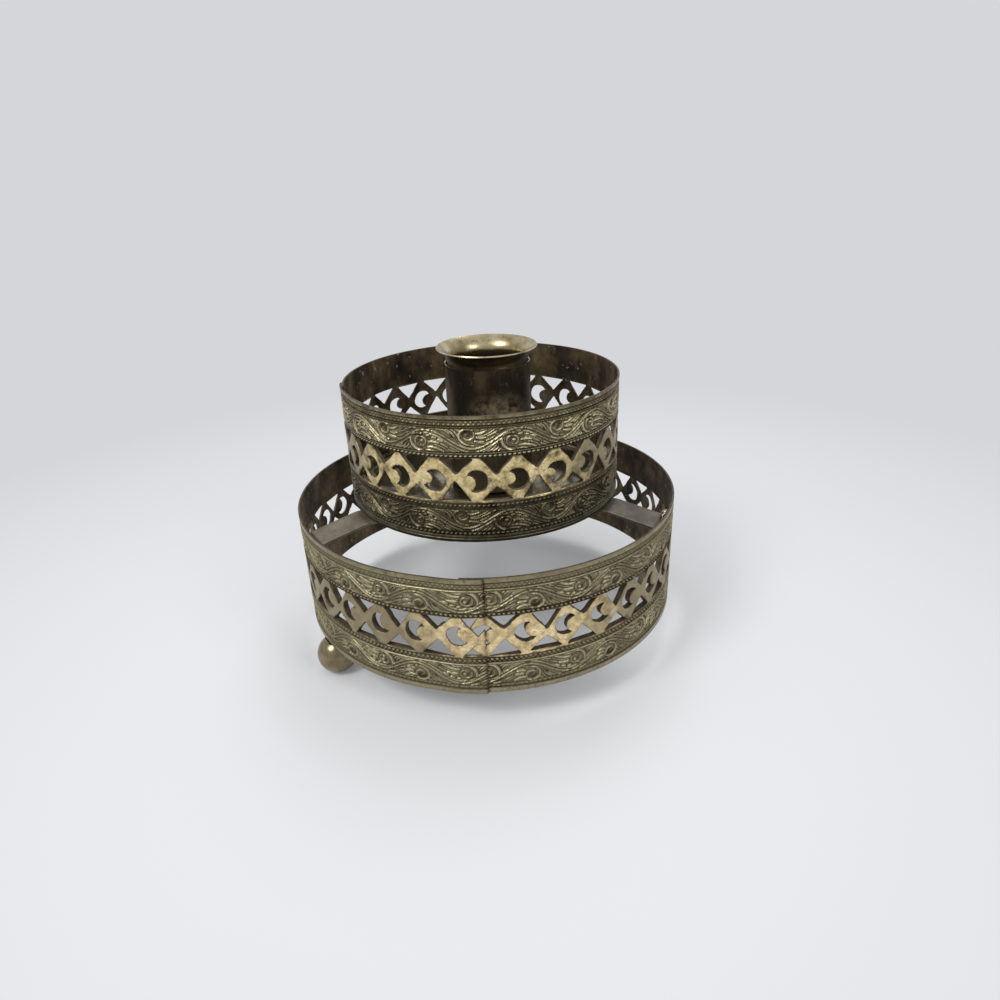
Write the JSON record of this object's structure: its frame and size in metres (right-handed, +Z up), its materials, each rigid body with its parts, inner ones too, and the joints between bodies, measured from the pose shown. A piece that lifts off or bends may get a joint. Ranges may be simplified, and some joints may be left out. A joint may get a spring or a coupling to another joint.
{
  "type": "taper candle holder",
  "caption": "Tiered metal candle holder: a small pierced gallery ring with a tray and flared taper cup, carried by flat arms inside a larger pierced ring on ball feet.",
  "frame": {"origin": "on the table under the axis of the two rings, at the bottom centre of the part's box", "axes": "+Z up along the candle; -Y towards the viewer of the picture, where the lower ring's lap seam is; +X to the viewer's right"},
  "size_m": [0.1143, 0.1152, 0.0876],
  "materials": {
    "gallery_metal": "tarnished embossed brass, dark in the hollows",
    "dark_brass": "dark oxidised satin brass",
    "bright_brass": "bright polished brass",
    "aged_brass": "polished aged brass"
  },
  "bodies": {
    "root": {"lower_gallery_ring": "gallery_metal", "upper_gallery_ring": "gallery_metal", "drip_tray": "dark_brass", "arm_left": "dark_brass", "arm_right": "dark_brass", "arm_rear": "dark_brass", "foot_left": "aged_brass", "foot_right": "aged_brass", "foot_rear": "aged_brass", "cup_sleeve": "dark_brass", "candle_cup": "bright_brass", "hub_disc": "dark_brass", "cup_screw": "aged_brass", "hub_nut": "aged_brass"}
  },
  "joints": []
}
